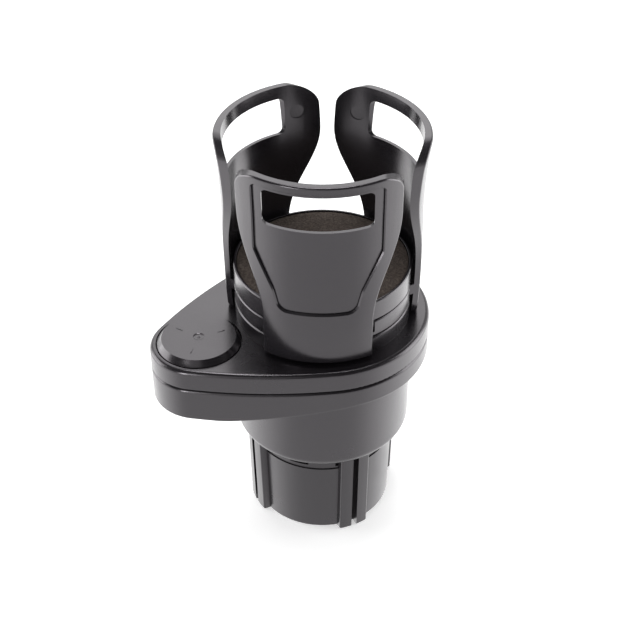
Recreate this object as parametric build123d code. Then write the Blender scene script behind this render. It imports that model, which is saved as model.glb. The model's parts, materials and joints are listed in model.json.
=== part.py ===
from build123d import *
import os
from math import cos, degrees, hypot, radians, sin, sqrt, tan

# Adjustable two-cup holder for the cup well of a vehicle.
#
# A plug with four spreading jaws grips the well. Above it a moulded cup takes the
# second drink, and an upper plate swings aside on a pivot to open that cup. The upper
# plate carries a round platform with three tall petals that close on the first cup.
# Turning the platform, or the disc on the floor of the lower cup, drives slides through
# spiral grooves, so the petals and the jaws move in and out together.
#
# Millimetres, +Z up. The origin is on the axis of the plug, at the bottom of the jaws,
# and the pivot lies on -X. "reach" is a distance out along a slide, from that axis.

# Plug jaws
JAW_COUNT = 4
JAW_AZIMUTH = -45.0
JAW_RADIUS = 33.4
JAW_DRAFT = 1.3
JAW_HEIGHT = 48.0
JAW_WALL = 2.4
JAW_PAD_PROUD = 3.2
JAW_PAD_HALF = 7.4
JAW_PAD_ROUND = 1.0
JAW_SLOT = 2.85
JAW_LIP_WALL = 1.8
JAW_LIP_LAP = 1.4
JAW_EDGE_ROUND = 1.2
JAW_TRAVEL = 11.0
JAW_COLLAR_HEIGHT = 8.0
JAW_COLLAR_STEP = 0.5
JAW_SLIT_WIDTH = 9.4
JAW_SLIT_HEIGHT = 2.0
JAW_SLIT_DROP = 5.8
JAW_NOTCH_WIDTH = 1.3
JAW_NOTCH_DEPTH = 1.0
JAW_NOTCH_HEIGHT = 2.6
JAW_NOTCH_DROP = 6.7
JAW_FOOT_WIDTH = 22.0
JAW_FOOT_HEIGHT = 2.6
JAW_FOOT_REACH = 12.6
JAW_GUSSET_WALL = 1.8
JAW_GUSSET_OFFSET = 8.0
JAW_GUSSET_DROP = 30.0
TONGUE_WIDTH = 8.0
TONGUE_REACH = 14.5
TONGUE_LENGTH = 9.0

# Shoes that hold the jaws up from inside the lower cup
SHOE_WIDTH = 14.0
SHOE_REACH = 13.0
SHOE_LENGTH = 12.0
SHOE_HEIGHT = 2.4
SHOE_PIN_REACH = 16.5
SHOE_SCREW_REACH = 21.5
SHOE_CORNER = 1.5

# Lower cup and lower arm, one moulding
CUP_RADIUS = 39.2
CUP_WALL = 2.6
CUP_FLOOR = 3.2
CUP_DEPTH = 50.9
CUP_FOOT_ROUND = 5.0
CUP_CORNER_ROUND = 2.0
CUP_MOUTH_CHAMFER = 1.0
PIVOT_DISTANCE = 61.6
ARM_LEDGE = 8.0
END_RADIUS = CUP_RADIUS + CUP_WALL + ARM_LEDGE
SIDE_RADIUS = 216.7
ARM_WALL = 2.4
ARM_DECK = 3.0
ARM_TOP_ROUND = 1.8
ARM_FOOT_ROUND = 1.0
ARM_DEPTH_PIVOT = 17.0
ARM_DEPTH_CUP = 10.2
RAMP_START = -61.0
RAMP_END = -7.0
RAMP_ROUND = 60.0
COVER_THICKNESS = 2.0
COVER_INSET = 2.0
COVER_GAP = 0.2
COVER_SCREW_ANGLES = (0, 80, -80)
COVER_SCREW_SIDE_X = -46.0
COVER_SCREW_SIDE_Y = 18.5
COVER_BOSS_RADIUS = 2.7
COVER_SCREW_LENGTH = 8.0

# Turning discs with spiral grooves
PIN_RADIUS = 1.8
PIN_HEIGHT = 2.9
GROOVE_WIDTH = 4.4
GROOVE_DEPTH = 3.3
GROOVE_OVERRUN = 4.0
GROOVE_POINTS = 9
BASE_DIAL_RADIUS = CUP_RADIUS - 0.7
BASE_DIAL_HEIGHT = 9.0
BASE_DIAL_TURN = 140.0
BASE_DIAL_CHAMFER = 0.8
BASE_HUB_RADIUS = 8.0
BASE_PAD_THICKNESS = 2.2
BASE_PAD_RADIUS = BASE_DIAL_RADIUS - 2.3
FINGER_WELL_LENGTH = 20.0
FINGER_WELL_WIDTH = 11.0
FINGER_WELL_REACH = 21.0
FINGER_WELL_DEPTH = 2.4

# Upper plate that swings on the pivot
PLATE_HEIGHT = 10.1
PLATE_TOP_ROUND = 2.3
PLATE_FOOT_ROUND = 0.6
PLATE_SEAM = 0.4
PIVOT_BOSS_RADIUS = 8.0
PIVOT_BOSS_RISE = 6.0
HUB_RADIUS = PIVOT_BOSS_RADIUS + 4.0
CAP_FOOT_RADIUS = 18.9
WELL_RADIUS = CAP_FOOT_RADIUS + 0.6
PIVOT_END_RADIUS = WELL_RADIUS + 2.7
WELL_DEPTH = 4.7
WELL_FLOOR = 2.4
PEDESTAL_WALL = 2.4
PEDESTAL_HEIGHT = 7.8
RIB_WALL = 1.6
RIB_HEIGHT = 4.0
RIB_COUNT = 6

# Pivot fasteners and cap
PIVOT_WASHER_RADIUS = 13.0
PIVOT_WASHER_HEIGHT = 1.6
PIVOT_BOLT_RADIUS = 2.5
PIVOT_HEAD_RADIUS = 5.0
PIVOT_HEAD_HEIGHT = 3.0
NUT_FLATS = 8.0
NUT_HEIGHT = 4.6
NUT_POCKET_GAP = 0.1
PIVOT_BOLT_LENGTH = (PIVOT_WASHER_HEIGHT + PIVOT_BOSS_RISE + ARM_DECK + 2 * NUT_HEIGHT
                     + PIVOT_BOLT_RADIUS / 6)
CAP_TOP_RADIUS = CAP_FOOT_RADIUS - 2.1
CAP_RISE = 2.8
CAP_SHOULDER = 0.5
CAP_FOOT_CHAMFER = 0.4
CAP_THICKNESS = 1.6
CAP_DIMPLE_RADIUS = 2.7
CAP_DIMPLE_DEPTH = 0.35

# Platform: slide body, turning disc and pad
PLATFORM_RADIUS = 40.5
BODY_HEIGHT = 8.9
BODY_FLOOR = 3.1
BODY_NECK_HEIGHT = 1.3
BODY_NECK_INSET = 1.0
BODY_EDGE = 0.5
BODY_SCREW_REACH = 30.0
BODY_SCREW_BOSS_RADIUS = 4.0
BODY_SCREW_ROOF = 2.0
DISC_HEIGHT = 10.4
DISC_SEAM = 0.6
DISC_RIM_WALL = 1.3
DISC_RIM_RISE = 0.6
DISC_HUB_RADIUS = 7.0
DISC_TURN = 150.0
PAD_THICKNESS = 3.1
PAD_EDGE_ROUND = 0.5
DISC_WASHER_RADIUS = 11.0
DISC_WELL_RADIUS = DISC_WASHER_RADIUS + 1.0
DISC_WASHER_HEIGHT = 1.2

# Petals
PETAL_COUNT = 3
PETAL_AZIMUTH = 1.5
PETAL_HEIGHT = 91.8
PETAL_GAP = 1.3
PETAL_WALL_FOOT = 2.6
PETAL_WALL_TOP = 3.7
PETAL_RADIUS_FOOT = PLATFORM_RADIUS + 0.9 + PETAL_WALL_FOOT
PETAL_RADIUS_BELLY = PETAL_RADIUS_FOOT + 0.8
PETAL_RADIUS_WAIST = PETAL_RADIUS_FOOT + 0.6
PETAL_RADIUS_TOP = PETAL_RADIUS_FOOT + 2.9
PETAL_BELLY_RISE = 22.0
PETAL_WAIST_RISE = 54.0
PETAL_FOOT_HALF = 23.9
PETAL_TOP_HALF = 34.8
PETAL_FLARE_START = 19.0
PETAL_FLARE_END = 71.0
PETAL_CORNER = 10.0
PETAL_EDGE_ROUND = 1.0
PETAL_TRAVEL = 12.0
PETAL_SWEEP = 150.0
WINDOW_HALF = 23.2
WINDOW_SILL = 68.5
WINDOW_HEAD = 86.2
WINDOW_CORNER = 2.6
SHIELD_DEPTH = 1.2
SHIELD_HALF = 27.2
SHIELD_HEAD = 87.6
SHIELD_SHOULDER = 54.8
SHIELD_NECK_HALF = 18.8
SHIELD_NECK = 37.0
SHIELD_FOOT_HALF = 16.4
SHIELD_FOOT = 27.3
SHIELD_CORNERS = (4.5, 12.0, 3.0, 2.5)
SHIELD_EDGE = 0.8
MARK_RADIUS = 3.4
MARK_AZIMUTH = 41.0
MARK_RISE = 78.4
MARK_DEPTH = 0.25
TAB_REACH = 31.0
TAB_HEIGHT = 5.2
SLIDE_WIDTH = 18.0
SLIDE_REACH = 12.5
SLIDE_PIN_REACH = 16.5
NOTCH_GAP = 0.7

# Screws
SCREW_RADIUS = 1.25
SCREW_HEAD_RADIUS = 2.5
SCREW_HEAD_HEIGHT = 1.5
DIAL_SCREW_RADIUS = 1.6
DIAL_SCREW_HEAD_RADIUS = 3.4
DIAL_SCREW_HEAD_HEIGHT = 2.2
DIAL_SCREW_LENGTH = 9.0
SOCKET_SHARE = 0.5

# Clearances
SLIDE_GAP = 0.3
FACE_GAP = 0.3
LIFT_GAP = 0.2
SHAFT_GAP = 0.06
THREAD_GAP = 0.05

# Levels, worked out upwards from the foot of the jaws
FLOOR_UNDER = JAW_HEIGHT + LIFT_GAP
FLOOR_TOP = FLOOR_UNDER + CUP_FLOOR
SHOE_UNDER = FLOOR_TOP + LIFT_GAP
SHOE_TOP = SHOE_UNDER + SHOE_HEIGHT
DIAL_UNDER = SHOE_TOP + FACE_GAP
DIAL_TOP = DIAL_UNDER + BASE_DIAL_HEIGHT
ARM_TOP = FLOOR_TOP + CUP_DEPTH
ARM_DECK_UNDER = ARM_TOP - ARM_DECK
BOSS_TOP = ARM_TOP + PIVOT_BOSS_RISE
PLATE_UNDER = ARM_TOP + PLATE_SEAM
PLATE_TOP = PLATE_UNDER + PLATE_HEIGHT
PLATE_DECK_UNDER = PLATE_TOP - ARM_DECK
WELL_LEVEL = PLATE_TOP - WELL_DEPTH
BODY_UNDER = PLATE_TOP + PEDESTAL_HEIGHT
BODY_TOP = BODY_UNDER + BODY_HEIGHT
CHANNEL_FLOOR = BODY_UNDER + BODY_FLOOR
TAB_UNDER = CHANNEL_FLOOR + SLIDE_GAP
TAB_TOP = TAB_UNDER + TAB_HEIGHT
DISC_UNDER = BODY_TOP + FACE_GAP
DISC_TOP = DISC_UNDER + DISC_HEIGHT
PAD_TOP = DISC_TOP - DISC_RIM_RISE
PAD_UNDER = PAD_TOP - PAD_THICKNESS
PETAL_UNDER = PLATE_TOP + PETAL_GAP
PETAL_TOP = PETAL_UNDER + PETAL_HEIGHT

PIVOT = Pos(-PIVOT_DISTANCE, 0, 0)


def azimuths(count, first):
    """Directions of evenly spaced pieces, in degrees."""
    return [first + n * 360 / count for n in range(count)]


def rod(radius, low, high, x=0, y=0):
    """Upright cylinder between two levels."""
    return Pos(x, y, (low + high) / 2) * Cylinder(radius, high - low)


def block(near, far, half, low, high):
    """Box along +X from near to far, half wide each side, between two levels."""
    middle = ((near + far) / 2, 0, (low + high) / 2)
    return Pos(*middle) * Box(far - near, 2 * half, high - low)


def ring(outer, inner, low, high):
    """Upright tube between two levels."""
    return rod(outer, low, high) - rod(inner, low, high)


def section(points):
    """Face in the XZ plane from a list of (radius, height) points."""
    corners = [Vector(radius, 0, height) for radius, height in points]
    return Face(Wire.make_polygon(corners, close=True))


def turned(points):
    """Solid turned about the Z axis from a closed (radius, height) outline."""
    return revolve(section(points), Axis.Z, 360)


def only_solid(shape):
    """The one solid of a cut or joined shape."""
    return shape.solids().sort_by(SortBy.VOLUME)[-1]


def arm_outline(inset=0.0):
    """Teardrop of four tangent arcs, as seen from above, at level 0."""
    big, small, side = END_RADIUS - inset, PIVOT_END_RADIUS - inset, SIDE_RADIUS - inset
    near, far = side - big, side - small
    middle_x = (far**2 - near**2 - PIVOT_DISTANCE**2) / (2 * PIVOT_DISTANCE)
    middle_y = -sqrt(near**2 - middle_x**2)
    middle = Vector(middle_x, middle_y)
    pivot = Vector(-PIVOT_DISTANCE, 0)
    big_touch = -middle.normalized() * big
    small_touch = pivot + (pivot - middle).normalized() * small
    bulge = middle + ((big_touch + small_touch) / 2 - middle).normalized() * side

    def flipped(point):
        return Vector(point.X, -point.Y)

    edges = [
        ThreePointArc(flipped(big_touch), (big, 0), big_touch),
        ThreePointArc(big_touch, bulge, small_touch),
        ThreePointArc(small_touch, pivot - Vector(small, 0), flipped(small_touch)),
        ThreePointArc(flipped(small_touch), flipped(bulge), flipped(big_touch)),
    ]
    return Face(Wire([curve.edge() for curve in edges]))


def arm_prism(inset, low, high):
    """Upright body with the teardrop outline between two levels."""
    return Pos(0, 0, low) * extrude(arm_outline(inset), high - low)


def above_ramp(lift):
    """All that lies above the lower arm's sloping underside, raised by lift."""
    deep, shallow = ARM_TOP - ARM_DEPTH_PIVOT + lift, ARM_TOP - ARM_DEPTH_CUP + lift
    reach = 2 * END_RADIUS
    points = [(-reach, deep), (RAMP_START, deep), (RAMP_END, shallow), (reach, shallow),
              (reach, PLATE_TOP), (-reach, PLATE_TOP)]
    face = section(points)
    bends = [v for v in face.vertices() if RAMP_START - 1 < v.X < RAMP_END + 1]
    return extrude(fillet(bends, RAMP_ROUND), END_RADIUS + 5, both=True)


def spiral_groove(start_reach, travel, turn, low, high):
    """Groove whose middle moves out by travel over turn degrees, clockwise."""
    first, last = radians(GROOVE_OVERRUN), -radians(turn + GROOVE_OVERRUN)
    rate = travel / radians(turn)
    steps = [first + (last - first) * n / (GROOVE_POINTS - 1) for n in range(GROOVE_POINTS)]

    def along(offset):
        return [((start_reach - rate * angle + offset) * cos(angle),
                 (start_reach - rate * angle + offset) * sin(angle)) for angle in steps]

    def end_round(angle, away):
        reach = start_reach - rate * angle
        tip = (reach * cos(angle) - away * GROOVE_WIDTH / 2 * sin(angle),
               reach * sin(angle) + away * GROOVE_WIDTH / 2 * cos(angle))
        return tip

    outer, inner = along(GROOVE_WIDTH / 2), along(-GROOVE_WIDTH / 2)
    edges = [
        Spline(*outer),
        ThreePointArc(outer[-1], end_round(last, -1), inner[-1]),
        Spline(*inner[::-1]),
        ThreePointArc(inner[0], end_round(first, 1), outer[0]),
    ]
    face = Face(Wire([curve.edge() for curve in edges]))
    if face.normal_at().Z < 0:
        face = -face
    return Pos(0, 0, low) * extrude(face, high - low)


def screw(radius, length, head_radius, head_height):
    """Screw standing on its tip side: head above level 0, shank below."""
    head = rod(head_radius, 0, head_height)
    head = fillet(head.edges().group_by(Axis.Z)[-1], head_height / 3)
    socket = rod(head_radius * SOCKET_SHARE, head_height * SOCKET_SHARE, head_height + 1)
    tip = rod(radius, -length, 0)
    tip = chamfer(tip.edges().group_by(Axis.Z)[0], radius / 3)
    return only_solid(head - socket + tip)


def small_screw(length):
    return screw(SCREW_RADIUS, length, SCREW_HEAD_RADIUS, SCREW_HEAD_HEIGHT)


def jaw_section(proud, inset, step=0.0):
    """Upright section of a jaw's wall: rounded foot and, with a step, a set-in collar."""
    lean = tan(radians(JAW_DRAFT))
    collar = JAW_HEIGHT - JAW_COLLAR_HEIGHT
    foot, top = JAW_RADIUS + proud, JAW_RADIUS + proud + JAW_HEIGHT * lean
    inner = JAW_RADIUS + inset - JAW_WALL
    points = [(inner, 0), (foot, 0), (top, JAW_HEIGHT), (inner, JAW_HEIGHT)]
    if step:
        edge = foot + collar * lean
        points[2:3] = [(edge, collar), (edge - step, collar), (edge - step, JAW_HEIGHT)]
    face = section(points)
    toe = [v for v in face.vertices() if v.Z < 0.1 and v.X > foot - 0.1]
    return fillet(toe, JAW_EDGE_ROUND)


def sector(face, first, last):
    """Body of an upright section turned about Z between two azimuths."""
    return Rot(0, 0, first) * revolve(face, Axis.Z, last - first)


def jaw_pad():
    """Grip pad on either side of a slot that runs along +X, with parallel sides."""
    spread = degrees(JAW_PAD_HALF / JAW_RADIUS) + 2
    pad = sector(jaw_section(JAW_PAD_PROUD, JAW_PAD_PROUD / 2), -spread, spread)
    pad &= block(0, 2 * JAW_RADIUS, JAW_PAD_HALF, 0, JAW_HEIGHT)
    sides = [edge for edge in pad.edges() if abs(edge.center().Y) > JAW_PAD_HALF - 0.01]
    corners = sorted(sides, key=lambda e: e.center().X)
    tall = [edge for edge in corners if edge.length > JAW_HEIGHT / 2]
    outer = [edge for edge in tall if edge.center().X > tall[-1].center().X - 0.1]
    return only_solid(fillet(outer, JAW_PAD_ROUND))


def jaw_lip():
    """Lip behind a slot that runs along +X, so that the plug can't be seen through."""
    inner = JAW_RADIUS - JAW_WALL - JAW_LIP_WALL / 2
    bend, lap = JAW_RADIUS + JAW_PAD_PROUD / 2 - JAW_WALL - LIFT_GAP, JAW_LIP_LAP + JAW_SLOT / 2
    high = JAW_HEIGHT - JAW_FOOT_HEIGHT
    near = section([(inner, 0), (JAW_RADIUS, 0), (JAW_RADIUS, high), (inner, high)])
    far = section([(inner, 0), (bend, 0), (bend, high), (inner, high)])
    start, end = degrees(JAW_PAD_HALF / JAW_RADIUS), degrees(JAW_SLOT / 2 / JAW_RADIUS)
    return sector(near, -start, -end) + sector(far, -end - 1, degrees(lap / inner))


def make_jaw():
    """Jaw that slides out along +X, with its foot and tongue."""
    half_pitch = 180 / JAW_COUNT
    wall_half = half_pitch - degrees((JAW_PAD_HALF - JAW_WALL) / JAW_RADIUS)
    jaw = sector(jaw_section(0, 0, JAW_COLLAR_STEP), -wall_half, wall_half)
    notch = block(JAW_RADIUS - JAW_NOTCH_DEPTH - JAW_COLLAR_STEP, 2 * JAW_RADIUS,
                  JAW_PAD_HALF + JAW_NOTCH_WIDTH, JAW_HEIGHT - JAW_NOTCH_DROP,
                  JAW_HEIGHT - JAW_NOTCH_DROP + JAW_NOTCH_HEIGHT)
    notch -= block(0, 3 * JAW_RADIUS, JAW_PAD_HALF, 0, JAW_HEIGHT)
    beyond = Pos(JAW_RADIUS, JAW_RADIUS - JAW_SLOT / 2, JAW_HEIGHT / 2) * Box(
        2 * JAW_RADIUS, 2 * JAW_RADIUS, 2 * JAW_HEIGHT)
    for side in (-1, 1):
        turn = Rot(0, 0, side * half_pitch)
        jaw += turn * jaw_pad()
        jaw -= turn * (beyond if side > 0 else mirror(beyond, about=Plane.XZ))
    jaw += Rot(0, 0, half_pitch) * jaw_lip()
    for side in (-1, 1):
        jaw -= Rot(0, 0, side * half_pitch) * notch
    slit = JAW_HEIGHT - JAW_SLIT_DROP
    jaw -= block(JAW_RADIUS - JAW_WALL / 2, 2 * JAW_RADIUS, JAW_SLIT_WIDTH / 2, slit,
                 slit + JAW_SLIT_HEIGHT)

    inside = rod(JAW_RADIUS - JAW_WALL / 2, 0, JAW_HEIGHT)
    foot_under = JAW_HEIGHT - JAW_FOOT_HEIGHT
    foot = block(JAW_FOOT_REACH, JAW_RADIUS, JAW_FOOT_WIDTH / 2, foot_under, JAW_HEIGHT)
    brace = section([(JAW_FOOT_REACH + 2, foot_under), (JAW_RADIUS, foot_under),
                     (JAW_RADIUS, foot_under - JAW_GUSSET_DROP)])
    gusset = extrude(brace, JAW_GUSSET_WALL / 2, both=True)
    offsets = (-JAW_GUSSET_OFFSET, JAW_GUSSET_OFFSET)
    carrier = foot + [Pos(0, offset, 0) * gusset for offset in offsets]
    tongue = block(TONGUE_REACH, TONGUE_REACH + TONGUE_LENGTH, TONGUE_WIDTH / 2,
                   JAW_HEIGHT, SHOE_UNDER)
    carrier &= inside
    carrier -= Rot(0, 0, half_pitch) * beyond
    carrier -= Rot(0, 0, -half_pitch) * mirror(beyond, about=Plane.XZ)
    jaw += carrier + tongue
    jaw -= rod(SCREW_RADIUS + THREAD_GAP, foot_under, SHOE_UNDER, SHOE_SCREW_REACH)
    return only_solid(jaw)


def make_shoe():
    """Shoe on the jaw's tongue: it rests on the cup's floor and carries the pin."""
    shoe = block(SHOE_REACH, SHOE_REACH + SHOE_LENGTH, SHOE_WIDTH / 2, SHOE_UNDER, SHOE_TOP)
    shoe = fillet(shoe.edges().filter_by(Axis.Z), SHOE_CORNER)
    shoe += rod(PIN_RADIUS, SHOE_TOP, SHOE_TOP + PIN_HEIGHT, SHOE_PIN_REACH)
    seat = SHOE_TOP - SCREW_HEAD_HEIGHT
    shoe -= rod(SCREW_HEAD_RADIUS + LIFT_GAP, seat, SHOE_TOP, SHOE_SCREW_REACH)
    shoe -= rod(SCREW_RADIUS + THREAD_GAP, SHOE_UNDER, seat, SHOE_SCREW_REACH)
    return only_solid(shoe)


def make_jaw_screw():
    length = SHOE_TOP - SCREW_HEAD_HEIGHT - (JAW_HEIGHT - JAW_FOOT_HEIGHT)
    seat = SHOE_TOP - SCREW_HEAD_HEIGHT
    return Pos(SHOE_SCREW_REACH, 0, seat) * small_screw(length)


def make_base_dial():
    """Disc on the lower cup's floor, with grooves below and finger wells above."""
    dial = rod(BASE_DIAL_RADIUS, DIAL_UNDER, DIAL_TOP)
    dial = chamfer(dial.edges().group_by(Axis.Z)[-1], BASE_DIAL_CHAMFER)
    dial -= rod(BASE_PAD_RADIUS + LIFT_GAP, DIAL_TOP - BASE_PAD_THICKNESS, DIAL_TOP)
    groove = spiral_groove(SHOE_PIN_REACH, JAW_TRAVEL, BASE_DIAL_TURN, DIAL_UNDER,
                           DIAL_UNDER + GROOVE_DEPTH)
    for azimuth in azimuths(JAW_COUNT, JAW_AZIMUTH):
        dial -= Rot(0, 0, azimuth) * groove
    dial += rod(BASE_HUB_RADIUS - SHAFT_GAP, JAW_HEIGHT, DIAL_UNDER)
    dial -= finger_wells(DIAL_TOP - BASE_PAD_THICKNESS - FINGER_WELL_DEPTH, DIAL_TOP)
    dial -= rod(DIAL_SCREW_RADIUS + THREAD_GAP, JAW_HEIGHT, JAW_HEIGHT + DIAL_SCREW_LENGTH)
    return only_solid(dial)


def finger_wells(low, high):
    """Two rounded slots for a finger and thumb."""
    slot = extrude(SlotOverall(FINGER_WELL_LENGTH, FINGER_WELL_WIDTH), high - low)
    places = [Rot(0, 0, turn) * Pos(FINGER_WELL_REACH, 0, low) * Rot(0, 0, 90)
              for turn in (90, 270)]
    return [place * slot for place in places]


def make_base_pad():
    pad = rod(BASE_PAD_RADIUS, DIAL_TOP - BASE_PAD_THICKNESS, DIAL_TOP)
    return only_solid(pad - finger_wells(DIAL_TOP - BASE_PAD_THICKNESS, DIAL_TOP))


def make_base_washer():
    return ring(DISC_WASHER_RADIUS, DIAL_SCREW_RADIUS + LIFT_GAP,
                JAW_HEIGHT - DISC_WASHER_HEIGHT, JAW_HEIGHT)


def make_base_screw():
    body = screw(DIAL_SCREW_RADIUS, DIAL_SCREW_LENGTH, DIAL_SCREW_HEAD_RADIUS,
                 DIAL_SCREW_HEAD_HEIGHT)
    return Pos(0, 0, JAW_HEIGHT - DISC_WASHER_HEIGHT) * Rot(180, 0, 0) * body


def cover_screw_places():
    """Where the screws of the lower arm's cover stand."""
    reach = (CUP_RADIUS + CUP_WALL + END_RADIUS - ARM_WALL) / 2
    round_end = [(reach * cos(radians(a)), reach * sin(radians(a))) for a in COVER_SCREW_ANGLES]
    return round_end + [(COVER_SCREW_SIDE_X, side * COVER_SCREW_SIDE_Y) for side in (-1, 1)]


def underside_rim(body):
    """Edges round the whole underside of a body, without the bends inside it."""
    down = [e for f in body.faces() if f.normal_at().Z < -0.9 for e in f.edges()]
    return [edge for edge in down if sum(edge.is_same(other) for other in down) == 1]


def make_lower_housing():
    """Lower cup, lower arm and pivot boss, moulded in one."""
    outer_radius = CUP_RADIUS + CUP_WALL
    arm = arm_prism(0, ARM_TOP - ARM_DEPTH_PIVOT, ARM_TOP)
    arm = fillet(arm.edges().group_by(Axis.Z)[-1], ARM_TOP_ROUND)
    arm = only_solid(arm & above_ramp(0))
    arm = fillet(underside_rim(arm), ARM_FOOT_ROUND)
    arm -= arm_prism(ARM_WALL, ARM_TOP - ARM_DEPTH_PIVOT - 1, ARM_DECK_UNDER)

    bosses = rod(PIVOT_BOSS_RADIUS, ARM_TOP - ARM_DEPTH_PIVOT, ARM_TOP, -PIVOT_DISTANCE)
    for x, y in cover_screw_places():
        bosses += rod(COVER_BOSS_RADIUS, ARM_TOP - ARM_DEPTH_PIVOT, ARM_DECK_UNDER, x, y)
    bosses &= above_ramp(COVER_INSET + COVER_THICKNESS)

    cup = section([(0, FLOOR_UNDER), (outer_radius, FLOOR_UNDER), (outer_radius, ARM_DECK_UNDER),
                   (0, ARM_DECK_UNDER)])
    heel = [v for v in cup.vertices() if v.X > 1 and v.Z < FLOOR_UNDER + 1]
    cup = revolve(fillet(heel, CUP_FOOT_ROUND), Axis.Z, 360)

    cavity = rod(CUP_RADIUS, FLOOR_TOP, ARM_TOP)
    cavity = fillet(cavity.edges().group_by(Axis.Z)[0], CUP_CORNER_ROUND)
    mouth = Pos(0, 0, ARM_TOP - CUP_MOUTH_CHAMFER / 2) * Cone(
        CUP_RADIUS, CUP_RADIUS + CUP_MOUTH_CHAMFER, CUP_MOUTH_CHAMFER)

    housing = arm + bosses + cup + rod(PIVOT_BOSS_RADIUS, ARM_TOP, BOSS_TOP, -PIVOT_DISTANCE)
    housing -= cavity
    housing -= mouth
    housing -= rod(BASE_HUB_RADIUS, FLOOR_UNDER, FLOOR_TOP)
    slot = block(TONGUE_REACH - SLIDE_GAP, TONGUE_REACH + TONGUE_LENGTH + JAW_TRAVEL + SLIDE_GAP,
                 TONGUE_WIDTH / 2 + SLIDE_GAP, FLOOR_UNDER, FLOOR_TOP)
    for azimuth in azimuths(JAW_COUNT, JAW_AZIMUTH):
        housing -= Rot(0, 0, azimuth) * slot

    nut_top = ARM_DECK_UNDER - NUT_HEIGHT
    pocket = extrude(RegularPolygon(NUT_FLATS / 2 + NUT_POCKET_GAP, 6, major_radius=False),
                     nut_top - (ARM_TOP - ARM_DEPTH_PIVOT))
    housing -= Pos(-PIVOT_DISTANCE, 0, ARM_TOP - ARM_DEPTH_PIVOT) * pocket
    housing -= rod(PIVOT_BOLT_RADIUS + LIFT_GAP, nut_top, BOSS_TOP, -PIVOT_DISTANCE)
    for x, y in cover_screw_places():
        housing -= rod(SCREW_RADIUS + THREAD_GAP, ARM_TOP - ARM_DEPTH_PIVOT,
                       ARM_DECK_UNDER, x, y)
    return only_solid(housing)


def make_lower_cover():
    """Cover of the lower arm, following its sloping underside round the cup."""
    cover = arm_prism(ARM_WALL + COVER_GAP, ARM_TOP - ARM_DEPTH_PIVOT, ARM_DECK_UNDER)
    cover &= above_ramp(COVER_INSET)
    cover -= above_ramp(COVER_INSET + COVER_THICKNESS)
    cover -= rod(CUP_RADIUS + CUP_WALL + COVER_GAP, 0, ARM_TOP)
    for x, y in cover_screw_places():
        cover -= rod(SCREW_RADIUS + LIFT_GAP, 0, ARM_TOP, x, y)
        cover -= rod(SCREW_HEAD_RADIUS + LIFT_GAP, 0, cover_seat(x), x, y)
    return only_solid(cover)


def cover_seat(x):
    """Level on which a cover screw's head sits: flat, cut into the slope where there is one."""
    share = min(max((x - RAMP_START) / (RAMP_END - RAMP_START), 0), 1)
    rise = ARM_DEPTH_PIVOT - ARM_DEPTH_CUP
    level = ARM_TOP - ARM_DEPTH_PIVOT + share * rise + COVER_INSET
    if 0 < share < 1:
        level += SCREW_HEAD_RADIUS * rise / (RAMP_END - RAMP_START)
    return level


def make_cover_screws():
    """Upright screws of the cover, heads down inside the arm's rim."""
    screws = []
    for x, y in cover_screw_places():
        length = min(ARM_DECK_UNDER - cover_seat(x) - 1, COVER_SCREW_LENGTH)
        screws.append(Pos(x, y, cover_seat(x)) * Rot(180, 0, 0) * small_screw(length))
    return Compound(children=screws)


def make_pivot_bolt():
    body = screw(PIVOT_BOLT_RADIUS, PIVOT_BOLT_LENGTH, PIVOT_HEAD_RADIUS, PIVOT_HEAD_HEIGHT)
    return PIVOT * Pos(0, 0, BOSS_TOP + PIVOT_WASHER_HEIGHT) * body


def make_pivot_washer():
    return PIVOT * ring(PIVOT_WASHER_RADIUS, PIVOT_BOLT_RADIUS + LIFT_GAP, BOSS_TOP,
                        BOSS_TOP + PIVOT_WASHER_HEIGHT)


def make_pivot_nut():
    nut_top = ARM_DECK_UNDER - NUT_HEIGHT
    nut = extrude(RegularPolygon(NUT_FLATS / 2, 6, major_radius=False), NUT_HEIGHT)
    nut -= rod(PIVOT_BOLT_RADIUS + THREAD_GAP, 0, NUT_HEIGHT)
    return PIVOT * Pos(0, 0, nut_top - NUT_HEIGHT) * only_solid(nut)


def body_screw_azimuths():
    """The slide body's screws stand halfway between the petals."""
    return azimuths(PETAL_COUNT, PETAL_AZIMUTH + 180 / PETAL_COUNT)


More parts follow.
